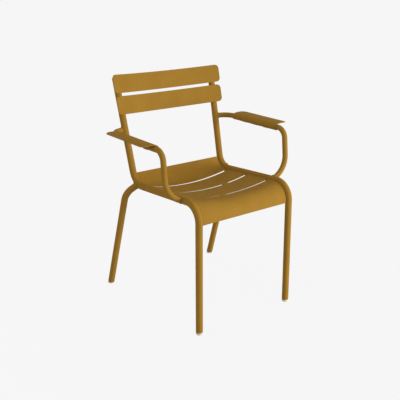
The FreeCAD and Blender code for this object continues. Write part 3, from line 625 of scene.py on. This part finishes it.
def powder_coat():
    """Satin polyester powder baked on aluminium: nearly matt in soft light, with a fine orange-peel skin."""
    colours = bpy.context.scene.armchair_colours
    material = bpy.data.materials.new("satin powder coat on aluminium")
    material.use_nodes = True
    tree = material.node_tree
    tree.nodes.clear()
    spots_per_metre = {"cloud": 1000 / 60, "peel": 1000 / 2.4, "grit": 1000 / 0.7}
    place = add_node(tree, "ShaderNodeTexCoord").outputs["Object"]
    cloud = add_node(tree, "ShaderNodeTexNoise",
                     {"Vector": place, "Scale": spots_per_metre["cloud"], "Detail": 3.0, "Roughness": 0.5})
    grit = add_node(tree, "ShaderNodeTexNoise",
                    {"Vector": place, "Scale": spots_per_metre["grit"], "Detail": 1.0, "Roughness": 0.5})
    # The peel of real powder is near 1 mm wide; it is drawn coarser so that it shows from across a room.
    peel = add_node(tree, "ShaderNodeTexNoise",
                    {"Vector": place, "Scale": spots_per_metre["peel"], "Detail": 2.0, "Roughness": 0.4})
    speckle = add_node(tree, "ShaderNodeMath", {0: cloud.outputs["Fac"], 1: grit.outputs["Fac"]},
                       operation="MULTIPLY")
    tint = add_node(tree, "ShaderNodeMapRange",
                    {"Value": speckle.outputs[0], "From Min": 0.12, "From Max": 0.42})
    body = add_node(tree, "ShaderNodeMix", {"Factor": tint.outputs[0], "A": (*colours.coat_shade, 1),
                                            "B": (*colours.coat, 1)}, data_type="RGBA")
    satin = add_node(tree, "ShaderNodeMapRange",
                     {"Value": grit.outputs["Fac"], "To Min": 0.56, "To Max": 0.68})
    skin = add_node(tree, "ShaderNodeBump",
                    {"Height": peel.outputs["Fac"], "Strength": 0.12, "Distance": 0.0004})
    shader = add_node(tree, "ShaderNodeBsdfPrincipled",
                      {"Base Color": body.outputs["Result"], "Roughness": satin.outputs[0], "IOR": 1.5,
                       "Specular IOR Level": 0.02, "Normal": skin.outputs[0]})
    add_node(tree, "ShaderNodeOutputMaterial", {"Surface": shader.outputs[0]})
    return material


def moulded_plastic():
    """White polyethylene, moulded with a fine matt grain that holds a little dust."""
    colours = bpy.context.scene.armchair_colours
    material = bpy.data.materials.new("moulded white polyethylene")
    material.use_nodes = True
    tree = material.node_tree
    tree.nodes.clear()
    spots_per_metre = {"dust": 1000 / 9, "grain": 1000 / 0.6}
    place = add_node(tree, "ShaderNodeTexCoord").outputs["Object"]
    dust = add_node(tree, "ShaderNodeTexNoise",
                    {"Vector": place, "Scale": spots_per_metre["dust"], "Detail": 4.0, "Roughness": 0.6})
    grain = add_node(tree, "ShaderNodeTexNoise",
                     {"Vector": place, "Scale": spots_per_metre["grain"], "Detail": 1.0, "Roughness": 0.5})
    body = add_node(tree, "ShaderNodeMix", {"Factor": dust.outputs["Fac"], "A": (*colours.glide, 1),
                                            "B": (*colours.glide_dust, 1)}, data_type="RGBA")
    skin = add_node(tree, "ShaderNodeBump",
                    {"Height": grain.outputs["Fac"], "Strength": 0.2, "Distance": 0.0002})
    shader = add_node(tree, "ShaderNodeBsdfPrincipled",
                      {"Base Color": body.outputs["Result"], "Roughness": 0.55, "IOR": 1.51,
                       "Normal": skin.outputs[0]})
    add_node(tree, "ShaderNodeOutputMaterial", {"Surface": shader.outputs[0]})
    return material


def finish(name):
    """Material of a finish, made the first time it is asked for."""
    makers = {COAT_SLOT: powder_coat, GLIDE_SLOT: moulded_plastic}
    label = f"finish_{name}"
    if label not in bpy.context.scene:
        bpy.context.scene[label] = makers[name]().name
    return bpy.data.materials[bpy.context.scene[label]]


# Finished pieces


def hand_over(name, mesh, node):
    """Piece that stands for a CAD node, with its place in its mesh."""
    piece = bpy.data.objects.new(name, mesh)
    bpy.context.scene.collection.objects.link(piece)
    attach(piece, "root")
    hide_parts(node)
    return piece


def thickened(name, mesh, sheets):
    """Closed sheet with rounded edges around a mid-surface."""
    blank = bpy.data.objects.new(name, mesh)
    bpy.context.scene.collection.objects.link(blank)
    wall = blank.modifiers.new("Thickness", "SOLIDIFY")
    wall.thickness = sheets.thickness
    wall.offset = 0
    edges = blank.modifiers.new("Edges", "BEVEL")
    edges.width = sheets.edge_rounding
    edges.segments = EDGE_SEGMENTS
    edges.limit_method = "ANGLE"
    edges.angle_limit = SHARP_ANGLE
    edges.harden_normals = False
    evaluated = blank.evaluated_get(bpy.context.evaluated_depsgraph_get())
    solid = bpy.data.meshes.new_from_object(evaluated)
    bpy.data.objects.remove(blank)
    return solid


def merged_copy(node):
    """Copy of a CAD node's mesh with its loose triangles joined."""
    work = bmesh.new()
    work.from_mesh(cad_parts[node].data)
    bmesh.ops.remove_doubles(work, verts=work.verts, dist=MERGE_DISTANCE)
    return work


def islands(work):
    """Corner points of each separate solid in a joined mesh, in the mesh's own order."""
    reached = set()
    found = []
    for first in work.verts:
        if first in reached:
            continue
        reached.add(first)
        stack = [first]
        points = []
        while stack:
            vertex = stack.pop()
            points.append(vertex.co.copy())
            for edge in vertex.link_edges:
                other = edge.other_vert(vertex)
                if other not in reached:
                    reached.add(other)
                    stack.append(other)
        found.append(np.array(points))
    return found


def spread_axes(points):
    """Middle of a cloud of points and its three main directions, the longest first."""
    middle = (points.min(0) + points.max(0)) / 2
    _, _, directions = np.linalg.svd(points - points.mean(0), full_matrices=False)
    return middle, directions


def slices(points, measure, count):
    """Middles of the points in each of the equal slices of a measure, in order."""
    edges = np.linspace(measure.min(), measure.max(), count + 1)
    groups = [points[(measure >= low) & (measure <= high)] for low, high in zip(edges, edges[1:])]
    return [Vector(group.mean(0)) for group in groups if len(group)]


def stitch_seam(points):
    """Line along the middle of a short bead."""
    middle, directions = spread_axes(points)
    return slices(points, (points - middle) @ directions[0], STITCH_SLICES)


def collar_seam(points):
    """Closed line along the middle of a bead around a tube joint."""
    middle, directions = spread_axes(points)
    flat = (points - middle) @ directions[:2].T
    return slices(points, np.arctan2(flat[:, 1], flat[:, 0]), COLLAR_SLICES)


def piece_name(node):
    """Name of the piece that stands for a CAD node."""
    return f"{node}_finished"


# The studio


def seen_directly(tree):
    """Socket that is 1 for what the camera, a reflection or a clear view through something sees."""
    rays = add_node(tree, "ShaderNodeLightPath")
    glossy = add_node(tree, "ShaderNodeMath",
                      {0: rays.outputs["Is Camera Ray"], 1: rays.outputs["Is Glossy Ray"]},
                      operation="MAXIMUM")
    clear = add_node(tree, "ShaderNodeMath", {0: glossy.outputs[0], 1: rays.outputs["Is Transmission Ray"]},
                     operation="MAXIMUM")
    return clear.outputs[0]


def studio_world(scene):
    """Even light from all round, behind a backdrop of the studio's colour."""
    world = bpy.data.worlds.new("studio")
    world.use_nodes = True
    tree = world.node_tree
    tree.nodes.clear()
    backdrop = add_node(tree, "ShaderNodeBackground",
                        {"Color": (*scene.armchair_colours.studio, 1), "Strength": 1.0})
    light = add_node(tree, "ShaderNodeBackground",
                     {"Color": (1, 1, 1, 1), "Strength": scene.armchair_stage.ambient})
    both = add_node(tree, "ShaderNodeMixShader", {0: seen_directly(tree), 1: light.outputs[0],
                                                  2: backdrop.outputs[0]})
    add_node(tree, "ShaderNodeOutputWorld", {"Surface": both.outputs[0]})
    scene.world = world


def studio_floor(scene):
    """Wide plain floor that keeps a faint shadow."""
    stage = scene.armchair_stage
    corners = [(x * FLOOR_REACH, y * FLOOR_REACH, 0) for x, y in ((-1, -1), (1, -1), (1, 1), (-1, 1))]
    mesh = bpy.data.meshes.new("studio floor")
    mesh.from_pydata(corners, [], [(0, 1, 2, 3)])
    material = bpy.data.materials.new("studio paper")
    material.use_nodes = True
    tree = material.node_tree
    tree.nodes.clear()
    paper = add_node(tree, "ShaderNodeBsdfDiffuse", {"Color": (*scene.armchair_colours.studio, 1)})
    glow = add_node(tree, "ShaderNodeEmission",
                    {"Color": (*scene.armchair_colours.studio, 1), "Strength": stage.floor_glow})
    bright = add_node(tree, "ShaderNodeMath", {0: seen_directly(tree), 1: stage.floor_glow_share},
                      operation="MULTIPLY")
    both = add_node(tree, "ShaderNodeMixShader",
                    {0: bright.outputs[0], 1: paper.outputs[0], 2: glow.outputs[0]})
    add_node(tree, "ShaderNodeOutputMaterial", {"Surface": both.outputs[0]})
    mesh.materials.append(material)
    floor = bpy.data.objects.new("studio floor", mesh)
    scene.collection.objects.link(floor)
    return floor


def soft_light(name, turn, rise, watts):
    """Square soft box that faces the chair, turned from the chair's front to its left hand and raised."""
    towards = Euler((-rise, 0, turn)).to_matrix() @ -REARWARD
    lamp = bpy.data.lights.new(name, "AREA")
    lamp.size = LIGHT_WIDTH
    lamp.energy = watts
    light = bpy.data.objects.new(name, lamp)
    bpy.context.scene.collection.objects.link(light)
    aim = towards.to_track_quat("Z", "Y").to_matrix()
    light.matrix_world = Matrix.Translation(LIGHT_AIM + towards * LIGHT_DISTANCE) @ aim.to_4x4()
    return light


def keep_light_off(light, thing):
    """Keep a low light's pool off one thing, as a studio flag does."""
    flagged = bpy.data.collections.new(f"{thing.name} out of the {light.name}")
    flagged.objects.link(thing)
    flagged.collection_objects[0].light_linking.link_state = "EXCLUDE"
    light.light_linking.receiver_collection = flagged


# Operators


class ARMCHAIR_OT_tubes(bpy.types.Operator):
    """Bend the side frames, rear legs and arms from round tube and coat the post caps"""

    bl_idname = "armchair.tubes"
    bl_label = "Tubes"

    def execute(self, context):
        sizes = context.scene.armchair_frame
        tree = tube_tree()
        for word, side in SIDES:
            skeleton = Skeleton(sizes, side)
            runs = {
                f"side_frame_{word}": (skeleton.side_frame(), sizes.tube_diameter),
                f"rear_leg_{word}": (skeleton.rear_leg(), sizes.tube_diameter),
                f"arm_tube_{word}": (skeleton.arm(), sizes.arm_tube_diameter),
            }
            for node, ((corners, radii), diameter) in runs.items():
                curve = path_curve(node, corners, radii)
                mesh = grown_mesh(node, curve, tree,
                                  {"Tube Radius": diameter / 2, "Material": finish(COAT_SLOT)})
                mesh.set_sharp_from_angle(angle=SHARP_ANGLE)
                hand_over(piece_name(node), mesh, node)
            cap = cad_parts[f"post_cap_{word}"]
            cap.data.materials.clear()
            cap.data.materials.append(finish(COAT_SLOT))
        return {"FINISHED"}


class ARMCHAIR_OT_seat(bpy.types.Operator):
    """Press the four seat slats between the side frames"""

    bl_idname = "armchair.seat"
    bl_label = "Seat Slats"

    def execute(self, context):
        sizes = context.scene.armchair_frame
        sheets = context.scene.armchair_sheets
        skeleton = Skeleton(sizes, 1)
        leg, knee_bend, rail, hip_bend = skeleton.runs()
        hem = leg - sheets.seat_hem
        front_end = hem + sheets.front_girth
        second = front_end + sheets.front_gap
        second_end = second + sheets.front_middle_width
        third = second_end + sheets.middle_gap
        third_end = third + sheets.rear_middle_width
        rear = third_end + sheets.rear_gap
        top = leg + knee_bend + rail + hip_bend - sheets.rear_stop
        slats = {
            "seat_slat_front": (hem, front_end, 0, sheets.front_dish),
            "seat_slat_front_middle": (second, second_end, sheets.front_dish, sheets.seat_dish),
            "seat_slat_rear_middle": (third, third_end, sheets.seat_dish, sheets.seat_dish),
            "seat_slat_rear": (top, rear, 0, sheets.seat_dish),
        }
        tree = seat_slat_tree()
        for node, (start, end, start_dish, end_dish) in slats.items():
            curve = path_curve(node, *skeleton.side_frame())
            mesh = grown_mesh(node, curve, tree, {
                "Start": start, "End": end, "Inset": sizes.tube_diameter / 2 + sheets.weld_gap,
                "Start Dish": float(start_dish), "End Dish": end_dish, **SEAT_GRID,
                "Material": finish(COAT_SLOT)})
            solid = thickened(node, mesh, sheets)
            hand_over(piece_name(node), solid, node)
        return {"FINISHED"}


class ARMCHAIR_OT_back(bpy.types.Operator):
    """Roll the two back slats and set them against the posts"""

    bl_idname = "armchair.back"
    bl_label = "Back Slats"

    def execute(self, context):
        sizes = context.scene.armchair_frame
        sheets = context.scene.armchair_sheets
        skeleton = Skeleton(sizes, 1)
        upper = sizes.back_rise - sheets.back_height
        lower = upper - sheets.back_gap - sheets.back_height
        reach = sheets.back_radius + sheets.thickness + sheets.weld_gap + sizes.tube_diameter / 2
        tree = rolled_sheet_tree()
        for node, bottom in (("back_slat_upper", upper), ("back_slat_lower", lower)):
            middle = bottom + sheets.back_height / 2
            mesh = grown_mesh(node, bpy.data.meshes.new(node), tree, {
                "Width": 2 * (skeleton.post(middle).x + sheets.back_overhang), "Length": sheets.back_height,
                "Corner": sheets.back_corner, "Radius": sheets.back_radius + sheets.thickness / 2,
                **BACK_GRID, "Material": finish(COAT_SLOT)})
            forward = math.sqrt(reach ** 2 - skeleton.post(bottom).x ** 2)
            centre = Vector((0, skeleton.hip.y, skeleton.hip.z)) + skeleton.back_up * middle
            turn = Matrix((-ACROSS, skeleton.back_up, -skeleton.back_front)).transposed()
            solid = thickened(node, mesh, sheets)
            solid.transform(Matrix.Translation(centre + skeleton.back_front * forward) @ turn.to_4x4())
            hand_over(piece_name(node), solid, node)
        return {"FINISHED"}


class ARMCHAIR_OT_armrests(bpy.types.Operator):
    """Curl the two armrests round the arms"""

    bl_idname = "armchair.armrests"
    bl_label = "Armrests"

    def execute(self, context):
        sizes = context.scene.armchair_frame
        sheets = context.scene.armchair_sheets
        tree = curled_sheet_tree()
        for word, side in SIDES:
            node = f"armrest_{word}"
            skeleton = Skeleton(sizes, side)
            section = skeleton.armrest_section(sheets)
            front_end, rear_end = skeleton.armrest_span(sheets)
            mesh = grown_mesh(node, path_curve(node, section), tree, {
                "Width": sum((after - before).length for before, after in zip(section, section[1:])),
                "Length": rear_end - front_end, "Corner": sheets.armrest_corner, **ARMREST_GRID,
                "Material": finish(COAT_SLOT)})
            solid = thickened(node, mesh, sheets)
            hand_over(piece_name(node), solid, node)
        return {"FINISHED"}


class ARMCHAIR_OT_welds(bpy.types.Operator):
    """Lay rippled weld beads along the seams between the pieces"""

    bl_idname = "armchair.welds"
    bl_label = "Weld Beads"

    def execute(self, context):
        welds = context.scene.armchair_welds
        tree = weld_tree()
        seams = {
            "weld_beads_arms": (collar_seam, welds.collar_radius, True),
            "weld_beads_rear_legs": (collar_seam, welds.collar_radius, True),
            "weld_beads_seat": (stitch_seam, welds.stitch_radius, False),
            "weld_beads_back": (stitch_seam, welds.stitch_radius, False),
            "weld_beads_armrests": (stitch_seam, welds.stitch_radius, False),
        }
        for node, (seam, radius, closed) in seams.items():
            curve = bpy.data.curves.new(node, "CURVE")
            curve.dimensions = "3D"
            work = merged_copy(node)
            for points in islands(work):
                add_run(curve, seam(points), closed=closed)
            work.free()
            mesh = grown_mesh(node, curve, tree, {
                "Bead Radius": radius, "Pitch": welds.ripple_pitch, "Depth": welds.ripple_depth,
                "Material": finish(COAT_SLOT)})
            hand_over(piece_name(node), mesh, node)
        return {"FINISHED"}


class ARMCHAIR_OT_glides(bpy.types.Operator):
    """Round off the moulded glides under the legs"""

    bl_idname = "armchair.glides"
    bl_label = "Floor Glides"

    def execute(self, context):
        for row in ("front", "rear"):
            for word, _ in SIDES:
                node = f"foot_glide_{row}_{word}"
                work = merged_copy(node)
                bmesh.ops.dissolve_limit(work, angle_limit=FLAT_ANGLE, verts=work.verts, edges=work.edges)
                rims = [edge for edge in work.edges if edge.calc_face_angle(0) > SHARP_ANGLE]
                bmesh.ops.bevel(work, geom=rims, offset=context.scene.armchair_frame.glide_rim,
                                segments=EDGE_SEGMENTS, profile=0.5, affect="EDGES")
                mesh = bpy.data.meshes.new(node)
                work.to_mesh(mesh)
                work.free()
                mesh.shade_smooth()
                mesh.set_sharp_from_angle(angle=SHARP_ANGLE)
                mesh.materials.append(finish(GLIDE_SLOT))
                hand_over(piece_name(node), mesh, node)
        return {"FINISHED"}


class ARMCHAIR_OT_stage(bpy.types.Operator):
    """Set up the pale studio, its soft lights and the camera"""

    bl_idname = "armchair.stage"
    bl_label = "Studio"

    def execute(self, context):
        scene = context.scene
        stage = scene.armchair_stage
        scene.view_settings.view_transform = "Standard"
        studio_world(scene)
        floor = studio_floor(scene)
        key = soft_light("key light", stage.key_turn, stage.key_rise, stage.key_power)
        keep_light_off(key, floor)
        soft_light("fill light", stage.fill_turn, stage.fill_rise, stage.fill_power)
        soft_light("rear light", stage.rear_turn, stage.rear_rise, stage.rear_power)
        lens = bpy.data.cameras.new("camera")
        lens.lens = lens.sensor_width * stage.focal_pixels / IMAGE_PIXELS
        camera = bpy.data.objects.new("camera", lens)
        scene.collection.objects.link(camera)
        level = Euler((math.pi / 2 - stage.tilt, 0, stage.heading)).to_matrix()
        turn = level @ Matrix.Rotation(stage.roll, 3, "Z")
        camera.matrix_world = Matrix.Translation(stage.camera_position) @ turn.to_4x4()
        scene.camera = camera
        return {"FINISHED"}


class ARMCHAIR_PT_panel(bpy.types.Panel):
    """Sidebar panel that lists the pieces and their sizes"""

    bl_idname = "ARMCHAIR_PT_panel"
    bl_label = "Garden Armchair"
    bl_space_type = "VIEW_3D"
    bl_region_type = "UI"
    bl_category = "Armchair"

    def draw(self, context):
        for operator in OPERATORS:
            self.layout.operator(operator.bl_idname)
        for group in GROUPS:
            box = self.layout.box()
            settings = getattr(context.scene, group)
            for name in settings.__annotations__:
                box.prop(settings, name)


OPERATORS = (ARMCHAIR_OT_tubes, ARMCHAIR_OT_seat, ARMCHAIR_OT_back, ARMCHAIR_OT_armrests, ARMCHAIR_OT_welds,
             ARMCHAIR_OT_glides, ARMCHAIR_OT_stage)


def register():
    for group in GROUPS.values():
        bpy.utils.register_class(group)
    for name, group in GROUPS.items():
        setattr(bpy.types.Scene, name, PointerProperty(type=group))
    for operator in OPERATORS:
        bpy.utils.register_class(operator)
    bpy.utils.register_class(ARMCHAIR_PT_panel)


def unregister():
    bpy.utils.unregister_class(ARMCHAIR_PT_panel)
    for operator in reversed(OPERATORS):
        bpy.utils.unregister_class(operator)
    for name, group in GROUPS.items():
        delattr(bpy.types.Scene, name)
        bpy.utils.unregister_class(group)


def main():
    """Build every piece and the studio."""
    register()
    bpy.ops.armchair.tubes()
    bpy.ops.armchair.seat()
    bpy.ops.armchair.back()
    bpy.ops.armchair.armrests()
    bpy.ops.armchair.welds()
    bpy.ops.armchair.glides()
    bpy.ops.armchair.stage()


if __name__ == "__main__":
    main()
